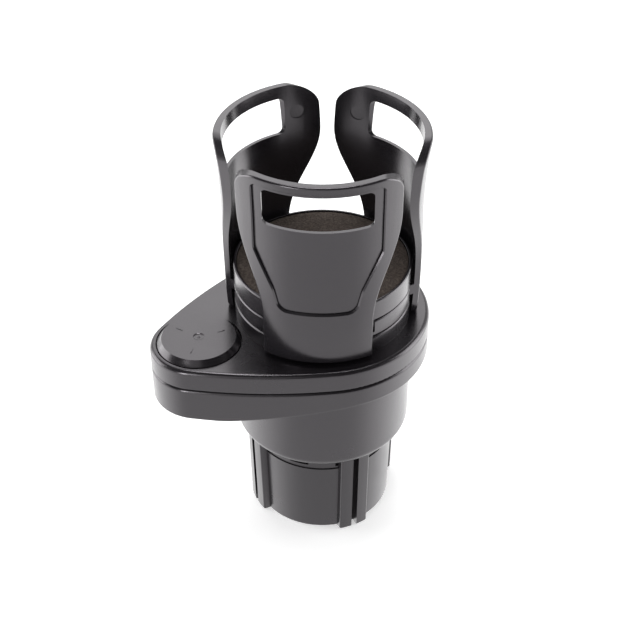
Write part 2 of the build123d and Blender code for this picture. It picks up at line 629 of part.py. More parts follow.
def make_swing_plate():
    """Upper plate: shell, pivot hub and cap well, and the platform's pedestal."""
    plate = arm_prism(0, PLATE_UNDER, PLATE_TOP)
    plate = fillet(plate.edges().group_by(Axis.Z)[-1], PLATE_TOP_ROUND)
    plate = fillet(plate.edges().group_by(Axis.Z)[0], PLATE_FOOT_ROUND)
    well_under = WELL_LEVEL - WELL_FLOOR
    hollow = arm_prism(ARM_WALL, PLATE_UNDER, PLATE_DECK_UNDER)
    hollow -= rod(WELL_RADIUS + ARM_WALL, well_under, PLATE_TOP, -PIVOT_DISTANCE)
    hollow -= rod(HUB_RADIUS, PLATE_UNDER + LIFT_GAP, well_under, -PIVOT_DISTANCE)
    plate -= hollow

    rib_under = PLATE_DECK_UNDER - RIB_HEIGHT
    rib = block(HUB_RADIUS, END_RADIUS - ARM_WALL / 2, RIB_WALL / 2, rib_under, PLATE_DECK_UNDER)
    plate += ring(PLATFORM_RADIUS, PLATFORM_RADIUS - RIB_WALL, rib_under, PLATE_DECK_UNDER)
    plate += ring(HUB_RADIUS + RIB_WALL, HUB_RADIUS, rib_under, PLATE_DECK_UNDER)
    first_rib = PETAL_AZIMUTH + 180 / RIB_COUNT
    plate += [Rot(0, 0, azimuth) * rib for azimuth in azimuths(RIB_COUNT, first_rib)
              if cos(radians(azimuth)) > -0.9]

    pedestal = ring(PLATFORM_RADIUS, PLATFORM_RADIUS - PEDESTAL_WALL, PLATE_TOP, BODY_UNDER)
    rim = [e for e in pedestal.edges().group_by(Axis.Z)[-1] if e.radius > PLATFORM_RADIUS - 0.1]
    plate += chamfer(rim, BODY_EDGE)
    boss = rod(BODY_SCREW_BOSS_RADIUS, PLATE_TOP, BODY_UNDER, BODY_SCREW_REACH)
    hole = rod(SCREW_RADIUS + LIFT_GAP, PLATE_DECK_UNDER, BODY_UNDER, BODY_SCREW_REACH)
    for azimuth in body_screw_azimuths():
        plate += Rot(0, 0, azimuth) * boss
        plate -= Rot(0, 0, azimuth) * hole

    plate -= rod(WELL_RADIUS, WELL_LEVEL, PLATE_TOP, -PIVOT_DISTANCE)
    plate -= rod(PIVOT_BOSS_RADIUS + SHAFT_GAP, PLATE_UNDER, WELL_LEVEL, -PIVOT_DISTANCE)
    return only_solid(plate)


def make_pivot_cap():
    """Snap cap in the plate's well, with a flared skirt and a domed centre dimple."""
    top = PLATE_TOP + CAP_RISE
    inner = CAP_FOOT_RADIUS - CAP_THICKNESS
    shoulder = PLATE_TOP + CAP_SHOULDER
    cap = turned([
        (0, top), (CAP_TOP_RADIUS, top), (CAP_FOOT_RADIUS - CAP_FOOT_CHAMFER, shoulder),
        (CAP_FOOT_RADIUS, shoulder - CAP_FOOT_CHAMFER), (CAP_FOOT_RADIUS, WELL_LEVEL),
        (inner, WELL_LEVEL),
        (inner, shoulder - CAP_THICKNESS), (CAP_TOP_RADIUS - CAP_THICKNESS, top - CAP_THICKNESS),
        (0, top - CAP_THICKNESS)])
    valley = (CAP_DIMPLE_RADIUS / 2, 0, top - CAP_DIMPLE_DEPTH)
    floor = Spline((0, 0, top - CAP_DIMPLE_DEPTH / 9), valley, (CAP_DIMPLE_RADIUS, 0, top))
    lid = [Line(floor @ 1, (CAP_DIMPLE_RADIUS, 0, top + 1)),
           Line((CAP_DIMPLE_RADIUS, 0, top + 1), (0, 0, top + 1)), Line((0, 0, top + 1), floor @ 0)]
    dimple = Face(Wire([curve.edge() for curve in [floor] + lid]))
    return PIVOT * only_solid(cap - revolve(dimple, Axis.Z, 360))


def make_slide_body():
    """Fixed round body with three open channels for the petals' feet."""
    inset = PLATFORM_RADIUS - BODY_NECK_INSET
    neck_top = BODY_UNDER + BODY_NECK_HEIGHT
    body = turned([
        (0, BODY_UNDER), (inset, BODY_UNDER), (inset, neck_top),
        (PLATFORM_RADIUS, neck_top), (PLATFORM_RADIUS, BODY_TOP - BODY_EDGE),
        (PLATFORM_RADIUS - BODY_EDGE, BODY_TOP), (0, BODY_TOP)])
    slide_half = SLIDE_WIDTH / 2 + SLIDE_GAP
    channel = block(SLIDE_REACH - 2 * SLIDE_GAP, PLATFORM_RADIUS + 5, slide_half,
                    CHANNEL_FLOOR, BODY_TOP)
    notch = block(TAB_REACH - 2 * SLIDE_GAP, PLATFORM_RADIUS + 5, PETAL_FOOT_HALF + NOTCH_GAP,
                  CHANNEL_FLOOR, BODY_TOP)
    for azimuth in azimuths(PETAL_COUNT, PETAL_AZIMUTH):
        body -= Rot(0, 0, azimuth) * channel
        body -= Rot(0, 0, azimuth) * notch
    body += rod(DISC_HUB_RADIUS, CHANNEL_FLOOR, disc_hub_top())
    body -= rod(DIAL_SCREW_RADIUS + THREAD_GAP, disc_hub_top() - DIAL_SCREW_LENGTH,
                disc_hub_top())
    for azimuth in body_screw_azimuths():
        body -= Rot(0, 0, azimuth) * rod(SCREW_RADIUS + THREAD_GAP, BODY_UNDER,
                                         BODY_TOP - BODY_SCREW_ROOF, BODY_SCREW_REACH)
    return only_solid(body)


def disc_hub_top():
    """The hub ends high enough for its washer to hold the disc with a small gap."""
    return PAD_UNDER - LIFT_GAP - DIAL_SCREW_HEAD_HEIGHT - DISC_WASHER_HEIGHT


def make_body_screws():
    length = BODY_TOP - BODY_SCREW_ROOF - 1 - PLATE_DECK_UNDER
    one = Pos(BODY_SCREW_REACH, 0, PLATE_DECK_UNDER) * Rot(180, 0, 0) * small_screw(length)
    return Compound(children=[Rot(0, 0, a) * one for a in body_screw_azimuths()])


def make_disc():
    """Turning platform disc: grooves below, a well for the washer, a rim round the pad."""
    seam_radius = PLATFORM_RADIUS - BODY_NECK_INSET
    disc = turned([
        (0, DISC_UNDER), (seam_radius, DISC_UNDER), (seam_radius, DISC_UNDER + DISC_SEAM),
        (PLATFORM_RADIUS, DISC_UNDER + DISC_SEAM), (PLATFORM_RADIUS, DISC_TOP - BODY_EDGE),
        (PLATFORM_RADIUS - BODY_EDGE, DISC_TOP), (0, DISC_TOP)])
    disc -= rod(PLATFORM_RADIUS - DISC_RIM_WALL, PAD_UNDER, DISC_TOP)
    groove = spiral_groove(SLIDE_PIN_REACH, PETAL_TRAVEL, DISC_TURN, DISC_UNDER,
                           DISC_UNDER + GROOVE_DEPTH)
    for azimuth in azimuths(PETAL_COUNT, PETAL_AZIMUTH):
        disc -= Rot(0, 0, azimuth) * groove
    disc -= rod(DISC_WELL_RADIUS, disc_hub_top() - LIFT_GAP, PAD_UNDER)
    disc -= rod(DISC_HUB_RADIUS + SHAFT_GAP, DISC_UNDER, DISC_TOP)
    return only_solid(disc)


def make_pad():
    pad = rod(PLATFORM_RADIUS - DISC_RIM_WALL - LIFT_GAP, PAD_UNDER, PAD_TOP)
    return only_solid(fillet(pad.edges().group_by(Axis.Z)[-1], PAD_EDGE_ROUND))


def make_disc_washer():
    return ring(DISC_WASHER_RADIUS, DIAL_SCREW_RADIUS + LIFT_GAP, disc_hub_top(),
                disc_hub_top() + DISC_WASHER_HEIGHT)


def make_disc_screw():
    length = DIAL_SCREW_LENGTH - 1
    body = screw(DIAL_SCREW_RADIUS, length, DIAL_SCREW_HEAD_RADIUS, DIAL_SCREW_HEAD_HEIGHT)
    return Pos(0, 0, disc_hub_top() + DISC_WASHER_HEIGHT) * body


def petal_curve(foot, belly, waist, top):
    """Upright curve of a petal's face, through four radii."""
    return Spline(
        (foot, 0, PETAL_UNDER), (belly, 0, PETAL_UNDER + PETAL_BELLY_RISE),
        (waist, 0, PETAL_UNDER + PETAL_WAIST_RISE), (top, 0, PETAL_TOP))


def petal_inner_curve():
    """Upright curve of a petal's inner face."""
    return petal_curve(PETAL_RADIUS_FOOT - PETAL_WALL_FOOT, PETAL_RADIUS_BELLY - PETAL_WALL_FOOT,
                       PETAL_RADIUS_WAIST - PETAL_WALL_FOOT, PETAL_RADIUS_TOP - PETAL_WALL_TOP)


def petal_shell():
    """Turned wall of the petals, all the way round."""
    outer = petal_curve(PETAL_RADIUS_FOOT, PETAL_RADIUS_BELLY, PETAL_RADIUS_WAIST,
                        PETAL_RADIUS_TOP)
    return swept_round(outer, petal_inner_curve())


def beyond_petal(depth):
    """All that lies outside the petals' outer face once that is moved in by depth."""
    face = petal_curve(PETAL_RADIUS_FOOT - depth, PETAL_RADIUS_BELLY - depth,
                       PETAL_RADIUS_WAIST - depth, PETAL_RADIUS_TOP - depth)
    far = 2 * PETAL_RADIUS_TOP
    return swept_round(Line((far, 0, PETAL_UNDER), (far, 0, PETAL_TOP)), face)


def swept_round(outer, inner):
    """Body between two upright curves, turned about Z over the width of one petal."""
    edges = [outer, Line(outer @ 1, inner @ 1), inner, Line(inner @ 0, outer @ 0)]
    face = Face(Wire([curve.edge() for curve in edges]))
    return Rot(0, 0, -PETAL_SWEEP / 2) * revolve(face, Axis.Z, PETAL_SWEEP)


def rounded_face(points, rounds):
    """Face from (half width, rise) points on one side, mirrored, with rounded corners."""
    right = [Vector(half, rise) for half, rise in points]
    left = [Vector(-half, rise) for half, rise in reversed(points)]
    face = Face(Wire.make_polygon(right + left, close=True))
    for (half, rise), radius in zip(points, rounds):
        corners = [v for v in face.vertices()
                   if abs(abs(v.X) - half) < 0.01 and abs(v.Y - rise) < 0.01]
        face = fillet(corners, radius).face()
    return face


def drawn(face):
    """Body of a (half width, rise) face, stood across +X and drawn out along it."""
    standing = Plane.YZ * (face if face.normal_at().Z > 0 else -face)
    return Pos(0, 0, PETAL_UNDER) * extrude(standing, 2 * PETAL_RADIUS_TOP)


def petal_outline():
    """Front view of a petal: narrow foot, smooth flare, rounded head."""
    half, head = PETAL_TOP_HALF, PETAL_HEIGHT
    corner_half, corner_rise = half - PETAL_CORNER, head - PETAL_CORNER
    bulge = PETAL_CORNER * sqrt(0.5)
    right = [
        Line((PETAL_FOOT_HALF, 0), (PETAL_FOOT_HALF, PETAL_FLARE_START)),
        Spline((PETAL_FOOT_HALF, PETAL_FLARE_START), (half, PETAL_FLARE_END),
               tangents=[(0, 1), (0, 1)]),
        Line((half, PETAL_FLARE_END), (half, corner_rise)),
        ThreePointArc((half, corner_rise), (corner_half + bulge, corner_rise + bulge),
                      (corner_half, head)),
    ]
    left = [mirror(curve, about=Plane.YZ) for curve in right]
    ends = [Line((-corner_half, head), (corner_half, head)),
            Line((-PETAL_FOOT_HALF, 0), (PETAL_FOOT_HALF, 0))]
    return make_face([curve.edge() for curve in right + left + ends]).face()


def ejector_mark():
    """Round flat that a mould's ejector leaves on the inner face of a petal, along +X."""
    curve, level = petal_inner_curve(), PETAL_UNDER + MARK_RISE
    nearest = min((curve @ (n / 200) for n in range(201)), key=lambda p: abs(p.Z - level))
    tip = nearest.X + MARK_DEPTH
    return Pos(tip / 2, 0, level) * Cylinder(MARK_RADIUS, tip, rotation=(0, 90, 0))


def make_petal():
    """Petal that slides out along +X, with its window, shield panel and foot."""
    petal = only_solid(petal_shell() & drawn(petal_outline()))
    petal = fillet(outer_face(petal).edges(), PETAL_EDGE_ROUND)

    shield = rounded_face(
        [(SHIELD_FOOT_HALF, SHIELD_FOOT), (SHIELD_NECK_HALF, SHIELD_NECK),
         (SHIELD_HALF, SHIELD_SHOULDER), (SHIELD_HALF, SHIELD_HEAD)], SHIELD_CORNERS)
    petal = only_solid(petal - (drawn(shield) & beyond_petal(SHIELD_DEPTH)))
    rim = [edge for wire in outer_face(petal).inner_wires() for edge in wire.edges()]
    petal = chamfer(rim, SHIELD_EDGE)

    corner = min(WINDOW_CORNER, 0.4 * (WINDOW_HEAD - WINDOW_SILL))
    window = rounded_face([(WINDOW_HALF, WINDOW_SILL), (WINDOW_HALF, WINDOW_HEAD)],
                          [corner, corner])
    petal -= drawn(window)
    for azimuth in (-MARK_AZIMUTH, MARK_AZIMUTH):
        petal -= Rot(0, 0, azimuth) * ejector_mark()

    tab = block(TAB_REACH, PETAL_RADIUS_FOOT, PETAL_FOOT_HALF, TAB_UNDER, TAB_TOP)
    tab &= rod(PETAL_RADIUS_FOOT - PETAL_WALL_FOOT / 2, 0, TAB_TOP)
    slide = block(SLIDE_REACH, TAB_REACH + 1, SLIDE_WIDTH / 2, TAB_UNDER, TAB_TOP)
    petal += tab + slide
    petal += rod(PIN_RADIUS, TAB_TOP, DISC_UNDER + PIN_HEIGHT, SLIDE_PIN_REACH)
    return only_solid(petal)


def outer_face(petal):
    """The petal's largest face away from the axis."""
    faces = sorted(petal.faces(), key=lambda f: f.area)[-3:]
    return max(faces, key=lambda f: hypot(f.center().X, f.center().Y))


def main():
    os.makedirs("parts", exist_ok=True)
    nodes = {
        "lower_housing": make_lower_housing(),
        "lower_cover": make_lower_cover(),
        "cover_screws": make_cover_screws(),
        "pivot_bolt": make_pivot_bolt(),
        "pivot_washer": make_pivot_washer(),
        "pivot_nut": make_pivot_nut(),
        "base_dial": make_base_dial(),
        "base_pad": make_base_pad(),
        "base_washer": make_base_washer(),
        "base_screw": make_base_screw(),
        "swing_plate": make_swing_plate(),
        "pivot_cap": make_pivot_cap(),
        "slide_body": make_slide_body(),
        "body_screws": make_body_screws(),
        "platform_disc": make_disc(),
        "platform_pad": make_pad(),
        "disc_washer": make_disc_washer(),
        "disc_screw": make_disc_screw(),
    }
    jaw, shoe, jaw_screw = make_jaw(), make_shoe(), make_jaw_screw()
    for number, azimuth in enumerate(azimuths(JAW_COUNT, JAW_AZIMUTH), 1):
        nodes[f"jaw_{number}"] = Rot(0, 0, azimuth) * jaw
        nodes[f"jaw_shoe_{number}"] = Rot(0, 0, azimuth) * shoe
        nodes[f"jaw_screw_{number}"] = Rot(0, 0, azimuth) * jaw_screw
    petal = make_petal()
    for number, azimuth in enumerate(azimuths(PETAL_COUNT, PETAL_AZIMUTH), 1):
        nodes[f"petal_{number}"] = Rot(0, 0, azimuth) * petal
    for name, shape in nodes.items():
        export_step(shape, f"parts/{name}.step")


main()
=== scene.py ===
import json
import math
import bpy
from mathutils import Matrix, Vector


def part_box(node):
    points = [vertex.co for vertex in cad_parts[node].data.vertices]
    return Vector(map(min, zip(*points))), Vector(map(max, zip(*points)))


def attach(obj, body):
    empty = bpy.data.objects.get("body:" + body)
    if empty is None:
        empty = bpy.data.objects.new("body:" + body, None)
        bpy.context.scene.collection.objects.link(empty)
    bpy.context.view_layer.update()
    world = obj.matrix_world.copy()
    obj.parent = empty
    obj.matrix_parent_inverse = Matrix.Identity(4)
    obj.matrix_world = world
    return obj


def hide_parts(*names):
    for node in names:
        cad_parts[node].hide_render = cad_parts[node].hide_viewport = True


bl_info = {
    "name": "Adjustable Cup Holder",
    "version": (1, 0, 0),
    "blender": (4, 5, 0),
    "location": "View3D > Sidebar > Cup Holder",
    "description": "Dresses the packed model of a two-cup vehicle holder for a studio picture",
    "category": "Add Mesh",
}

import bmesh
import bpy
from mathutils import Matrix, Vector

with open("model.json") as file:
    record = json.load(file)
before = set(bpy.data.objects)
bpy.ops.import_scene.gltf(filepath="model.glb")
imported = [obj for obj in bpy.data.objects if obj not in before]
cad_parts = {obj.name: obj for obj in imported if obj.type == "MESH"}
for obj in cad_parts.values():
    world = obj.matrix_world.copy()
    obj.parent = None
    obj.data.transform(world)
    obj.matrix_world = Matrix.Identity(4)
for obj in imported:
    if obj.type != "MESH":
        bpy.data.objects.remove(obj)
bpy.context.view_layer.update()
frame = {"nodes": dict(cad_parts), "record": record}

MM = 0.001

# The camera stands where the photograph's camera stood, in the row frame. Lens and sensor are
# in mm.
CAMERA_TARGET = Vector((-1.024, 0.489, 104.318)) * MM
CAMERA_DISTANCE = 613.388 * MM
CAMERA_AZIMUTH = math.radians(-25.5)
CAMERA_ELEVATION = math.radians(37.81)
CAMERA_LENS = 73.36
CAMERA_SENSOR = 36.0
CAMERA_NEAREST = 10 * MM

# Lamps: name, place to the right, back and up from the holder as the camera sees it, and width
# and height, in metres, and power in watts.
SOFTBOXES = (
    ("right_softbox", (0.85, 0.15, 0.32), (0.6, 0.7), 4.4),
    ("left_softbox", (-0.85, 0.15, 0.32), (0.6, 0.7), 4.4),
    ("top_softbox", (0.0, 0.12, 1.15), (0.5, 0.35), 5.0),
    ("back_softbox", (-0.2, 1.15, 1.2), (1.6, 1.2), 9.0),
    ("front_softbox", (-0.3, -1.1, 0.7), (0.8, 0.8), 1.0),
    ("key_softbox", (-0.53, -0.82, 0.33), (0.22, 0.4), 2.8),
)
LAMP_AIM = Vector((0.0, 0.0, 0.11))
FLOOR_REACH = 4.0
FLOOR_GLOW = 0.5

# Two faces that meet at more than this angle show an edge: on copies of CAD nodes, whose curves
# are flat facets, and on pieces made here.
COPY_EDGE_ANGLE = math.radians(28)
PIECE_EDGE_ANGLE = math.radians(40)

# A copy's points nearer than this are one point, and its edges flatter than this are dissolved.
MERGE_DISTANCE = 0.002 * MM
FLAT_ANGLE = math.radians(0.1)

CAP_LOW, CAP_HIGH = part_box("pivot_cap")
PIVOT_X = (CAP_LOW.x + CAP_HIGH.x) / 2
CAP_TOP = CAP_HIGH.z
DASH_ANGLES = (-4.5, 124.5, -128.5)

# The pad's top is cut into rings, so that its faces are small enough to shade evenly.
PAD_POINTS = 192
PAD_RINGS = 14

BODY_OF = {node: body for body, nodes in frame["record"]["behaviour"]["bodies"].items()
           for node in nodes}


def linear(hex_colour):
    """sRGB hex to the linear RGB that Blender's sockets take."""
    channels = [int(hex_colour[i:i + 2], 16) / 255 for i in (1, 3, 5)]
    return tuple(c / 12.92 if c <= 0.04045 else ((c + 0.055) / 1.055) ** 2.4 for c in channels)


def colour_property(name, description, hex_colour):
    return bpy.props.FloatVectorProperty(
        name=name, description=description, subtype="COLOR", size=3, min=0.0, max=1.0,
        default=linear(hex_colour))


def length_property(name, description, millimetres):
    return bpy.props.FloatProperty(
        name=name, description=description, subtype="DISTANCE", unit="LENGTH",
        default=millimetres * MM, min=0.0, precision=5)


class CupHolderColours(bpy.types.PropertyGroup):
    shell: colour_property("Shell", "Moulded plates, cup and platform rings", "#181619")
    petal: colour_property("Petal", "Moulded petals", "#201E21")
    jaw: colour_property("Jaw", "Moulded jaws of the plug", "#171518")
    foam: colour_property("Foam", "Foam pads", "#3D3835")
    steel: colour_property("Steel", "Zinc-plated fasteners", "#B9BABD")
    floor: colour_property("Floor", "Studio floor", "#F4F4F4")


class CupHolderSizes(bpy.types.PropertyGroup):
    shell_edge: length_property("Shell edge", "Round on the moulded shells' edges", 0.18)
    petal_edge: length_property("Petal edge", "Round on the petals' edges", 0.2)
    steel_edge: length_property("Steel edge", "Round on the fasteners' edges", 0.12)
    foam_edge: length_property("Foam edge", "Round on the foam pad's rim", 0.5)
    dash_length: length_property("Dash length", "Length of the cap's raised dashes", 3.4)
    dash_width: length_property("Dash width", "Width of the cap's raised dashes", 0.55)
    dash_height: length_property("Dash height", "Height of the cap's raised dashes", 0.15)
    dash_reach: length_property("Dash reach", "Middle of the dashes from the cap's axis", 10.5)


class CupHolderSettings(bpy.types.PropertyGroup):
    colours: bpy.props.PointerProperty(type=CupHolderColours)
    sizes: bpy.props.PointerProperty(type=CupHolderSizes)


def add_node(tree, kind, inputs=None, **settings):
    """Adds a node. Inputs give sockets a link or a value by name or number, and settings give
    values to sockets, with _ for a space in their names, or to the node's own attributes."""
    node = tree.nodes.new(kind)
    for name, value in settings.items():
        socket = name.replace("_", " ")
        if socket in node.inputs:
            node.inputs[socket].default_value = value
        else:
            setattr(node, name, value)
    for name, source in (inputs or {}).items():
        if isinstance(source, bpy.types.NodeSocket):
            tree.links.new(source, node.inputs[name])
        else:
            node.inputs[name].default_value = source
    return node


def shade(colour, factor):
    """The colour made lighter or darker, with full alpha."""
    return (*[channel * factor for channel in colour], 1)


def new_material(name):
    """Material with an empty tree, its output node and the object coordinates in metres."""
    material = bpy.data.materials.new(name)
    material.use_nodes = True
    tree = material.node_tree
    tree.nodes.clear()
    output = add_node(tree, "ShaderNodeOutputMaterial")
    place = add_node(tree, "ShaderNodeTexCoord").outputs["Object"]
    return material, tree, output, place


def moulded_plastic(name, colour, roughness, gleam, grain_mm, grain_depth_mm):
    """Injection-moulded ABS from a spark-eroded tool: dark, satin, with a fine even grain
    that breaks up highlights, and slow changes of gloss where the melt cooled unevenly."""
    material, tree, output, place = new_material(name)
    flow = add_node(tree, "ShaderNodeTexNoise", {"Vector": place}, Scale=1 / (28 * MM), Detail=3.0,
                    Roughness=0.55)
    gloss = add_node(tree, "ShaderNodeMapRange", {"Value": flow.outputs["Fac"]}, From_Min=0.3,
                     From_Max=0.7, To_Min=roughness - 0.04, To_Max=roughness + 0.05)
    grain = add_node(tree, "ShaderNodeTexNoise", {"Vector": place}, Scale=1 / (grain_mm * MM),
                     Detail=2.0, Roughness=0.6)
    tone = add_node(tree, "ShaderNodeMixRGB", {"Fac": grain.outputs["Fac"]},
                    Color1=shade(colour, 0.9), Color2=shade(colour, 1.12))
    bump = add_node(tree, "ShaderNodeBump", {"Height": grain.outputs["Fac"]}, Strength=0.6,
                    Distance=grain_depth_mm * MM)
    surface = add_node(tree, "ShaderNodeBsdfPrincipled",
                       {"Base Color": tone.outputs["Color"], "Roughness": gloss.outputs["Result"],
                        "Normal": bump.outputs["Normal"]}, IOR=1.54, Specular_IOR_Level=gleam,
                       Specular_Tint=(1.0, 0.95, 1.0, 1))
    tree.links.new(surface.outputs["BSDF"], output.inputs["Surface"])
    return material


def zinc_plated(name, colour):
    """Zinc-plated steel: pale, with soft reflections and a faintly uneven plating."""
    material, tree, output, place = new_material(name)
    plating = add_node(tree, "ShaderNodeTexNoise", {"Vector": place}, Scale=1 / (0.5 * MM),
                       Detail=3.0)
    worn = add_node(tree, "ShaderNodeMapRange", {"Value": plating.outputs["Fac"]}, To_Min=0.24,
                    To_Max=0.42)
    bump = add_node(tree, "ShaderNodeBump", {"Height": plating.outputs["Fac"]}, Strength=0.3,
                    Distance=0.01 * MM)
    surface = add_node(tree, "ShaderNodeBsdfPrincipled",
                       {"Roughness": worn.outputs["Result"], "Normal": bump.outputs["Normal"]},
                       Base_Color=shade(colour, 1), Metallic=1.0)
    tree.links.new(surface.outputs["BSDF"], output.inputs["Surface"])
    return material


def cut_foam(name, colour):
    """Closed-cell EVA foam cut from sheet: brownish black, dull, pitted by open cut cells of
    about 0.4 mm, drawn at 0.55 mm so that they show in the picture."""
    material, tree, output, place = new_material(name)
    cells = add_node(tree, "ShaderNodeTexVoronoi", {"Vector": place}, Scale=1 / (0.55 * MM))
    fibre = add_node(tree, "ShaderNodeTexNoise", {"Vector": place}, Scale=1 / (1.8 * MM),
                     Detail=6.0, Roughness=0.7)
    mottle = add_node(tree, "ShaderNodeTexNoise", {"Vector": place}, Scale=1 / (9 * MM), Detail=4.0)
    cell = add_node(tree, "ShaderNodeSeparateColor", {"Color": cells.outputs["Color"]})
    sheen = add_node(tree, "ShaderNodeMath", {0: cell.outputs["Red"], 1: fibre.outputs["Fac"]},
                     operation="MULTIPLY")
    tone = add_node(tree, "ShaderNodeMixRGB", {"Fac": sheen.outputs["Value"]},
                    Color1=shade(colour, 1.05), Color2=shade(colour, 3.4))
    tint = add_node(tree, "ShaderNodeMixRGB",
                    {"Fac": mottle.outputs["Fac"], "Color1": tone.outputs["Color"]},
                    blend_type="MULTIPLY", Color2=(0.72, 0.66, 0.62, 1))
    depth = add_node(tree, "ShaderNodeMath",
                     {0: cells.outputs["Distance"], 1: fibre.outputs["Fac"]}, operation="ADD")
    bump = add_node(tree, "ShaderNodeBump", {"Height": depth.outputs["Value"]}, Strength=0.8,
                    Distance=0.12 * MM)
    surface = add_node(tree, "ShaderNodeBsdfPrincipled",
                       {"Base Color": tint.outputs["Color"], "Normal": bump.outputs["Normal"]},
                       Roughness=0.82, IOR=1.48, Specular_IOR_Level=0.02)
    tree.links.new(surface.outputs["BSDF"], output.inputs["Surface"])
    return material


def material_named(name, maker, **values):
    """The material of that name, made once."""
    return bpy.data.materials.get(name) or maker(name, **values)


def link_object(name, mesh, material):
    """New object at the origin with a mesh whose place is in its vertices."""
    piece = bpy.data.objects.new(name, mesh)
    mesh.materials.clear()
    mesh.materials.append(material)
    bpy.context.scene.collection.objects.link(piece)
    return piece


def mark_sharp(bm, angle):
    """Smooth shading, with the edges whose faces meet at more than the angle left sharp."""
    for face in bm.faces:
        face.smooth = True
    for edge in bm.edges:
        edge.smooth = edge.is_manifold and edge.calc_face_angle(0.0) < angle


def dressed_copy(node, material, edge_width):
    """Merged copy of a CAD node with rounded edges and smooth shading, in its place."""
    mesh = frame["nodes"][node].data.copy()
    mesh.name = node + "_skin"
    bm = bmesh.new()
    bm.from_mesh(mesh)
    bmesh.ops.remove_doubles(bm, verts=bm.verts, dist=MERGE_DISTANCE)
    bmesh.ops.dissolve_degenerate(bm, edges=bm.edges, dist=MERGE_DISTANCE)
    bmesh.ops.dissolve_limit(bm, angle_limit=FLAT_ANGLE, verts=bm.verts, edges=bm.edges)
    mark_sharp(bm, COPY_EDGE_ANGLE)
    bm.to_mesh(mesh)
    bm.free()
    piece = link_object(node + "_skin", mesh, material)
    bevel = piece.modifiers.new("edges", "BEVEL")
    bevel.width = edge_width
    bevel.segments = 2
    bevel.limit_method = "ANGLE"
    bevel.angle_limit = COPY_EDGE_ANGLE
    bevel.miter_outer = "MITER_ARC"
    bevel.use_clamp_overlap = True
    shading = piece.modifiers.new("shading", "WEIGHTED_NORMAL")
    shading.mode = "FACE_AREA_WITH_ANGLE"
    shading.weight = 50
    shading.keep_sharp = True
    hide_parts(node)
    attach(piece, BODY_OF[node])
    return piece


def shell_material(settings):
    return material_named("spark_grained_abs", moulded_plastic, colour=settings.colours.shell,
                          roughness=0.24, gleam=0.75, grain_mm=0.45, grain_depth_mm=0.006)


def petal_material(settings):
    return material_named("satin_abs_petal", moulded_plastic, colour=settings.colours.petal,
                          roughness=0.21, gleam=0.7, grain_mm=0.6, grain_depth_mm=0.006)


def jaw_material(settings):
    return material_named("spark_grained_abs_jaw", moulded_plastic, colour=settings.colours.jaw,
                          roughness=0.3, gleam=0.6, grain_mm=0.5, grain_depth_mm=0.008)


def steel_material(settings):
    return material_named("zinc_plated_steel", zinc_plated, colour=settings.colours.steel)


def foam_material(settings):
    return material_named("cut_eva_foam", cut_foam, colour=settings.colours.foam)


class CUPHOLDER_OT_shells(bpy.types.Operator):
    """Dress the moulded cup, plates, rings, discs and cap"""
    bl_idname = "cupholder.shells"
    bl_label = "Moulded Shells"

    def execute(self, context):
        settings = context.scene.cup_holder
        for node in ("lower_housing", "lower_cover", "swing_plate", "slide_body",
                     "platform_disc", "base_dial", "pivot_cap"):
            piece = dressed_copy(node, shell_material(settings), settings.sizes.shell_edge)
        return {"FINISHED"}


class CUPHOLDER_OT_jaws(bpy.types.Operator):
    """Dress the jaws of the plug and the shoes that carry them"""
    bl_idname = "cupholder.jaws"
    bl_label = "Jaws"

    def execute(self, context):
        settings = context.scene.cup_holder
        for number in (1, 2, 3, 4):
            for node in (f"jaw_{number}", f"jaw_shoe_{number}"):
                piece = dressed_copy(node, jaw_material(settings), settings.sizes.shell_edge)
        return {"FINISHED"}


class CUPHOLDER_OT_petals(bpy.types.Operator):
    """Dress the three tall petals"""
    bl_idname = "cupholder.petals"
    bl_label = "Petals"

    def execute(self, context):
        settings = context.scene.cup_holder
        for number in (1, 2, 3):
            piece = dressed_copy(f"petal_{number}", petal_material(settings),
                                 settings.sizes.petal_edge)
        return {"FINISHED"}


class CUPHOLDER_OT_fasteners(bpy.types.Operator):
    """Dress the screws, washers, bolt and nut"""
    bl_idname = "cupholder.fasteners"
    bl_label = "Fasteners"

    def execute(self, context):
        settings = context.scene.cup_holder
        steel = [node for node in BODY_OF
                 if any(word in node for word in ("screw", "washer", "bolt", "nut"))]
        for node in steel:
            piece = dressed_copy(node, steel_material(settings), settings.sizes.steel_edge)
        return {"FINISHED"}


def faces_up(face):
    return face.normal.z > 0.99


def foam_disc(low, high, edge):
    """Round pad between two corners: a disc raised to its height, with a rounded rim."""
    radius = (high[0] - low[0]) / 2
    bm = bmesh.new()
    bmesh.ops.create_circle(bm, cap_ends=True, segments=PAD_POINTS, radius=radius)
    bmesh.ops.translate(bm, verts=bm.verts, vec=(0, 0, low[2]))
    raised = bmesh.ops.extrude_face_region(bm, geom=list(bm.faces))
    lifted = [v for v in raised["geom"] if isinstance(v, bmesh.types.BMVert)]
    bmesh.ops.translate(bm, verts=lifted, vec=(0, 0, high[2] - low[2]))
    bmesh.ops.recalc_face_normals(bm, faces=bm.faces)
    middle = (low[2] + high[2]) / 2
    rim = [e for e in bm.edges if all(v.co.z > middle for v in e.verts)]
    bmesh.ops.bevel(bm, geom=rim, offset=edge, offset_type="OFFSET", segments=4, profile=0.5,
                    affect="EDGES", clamp_overlap=True, material=-1)
    for _ in range(PAD_RINGS):
        top = max(filter(faces_up, bm.faces), key=lambda face: len(face.verts))
        bmesh.ops.inset_region(bm, faces=[top], thickness=radius / (PAD_RINGS + 2),
                               use_even_offset=True)
    inmost = [face for face in bm.faces if faces_up(face) and len(face.verts) > 4]
    bmesh.ops.poke(bm, faces=inmost)
    mark_sharp(bm, PIECE_EDGE_ANGLE)
    mesh = bpy.data.meshes.new("platform_foam")
    bm.to_mesh(mesh)
    bm.free()
    return mesh


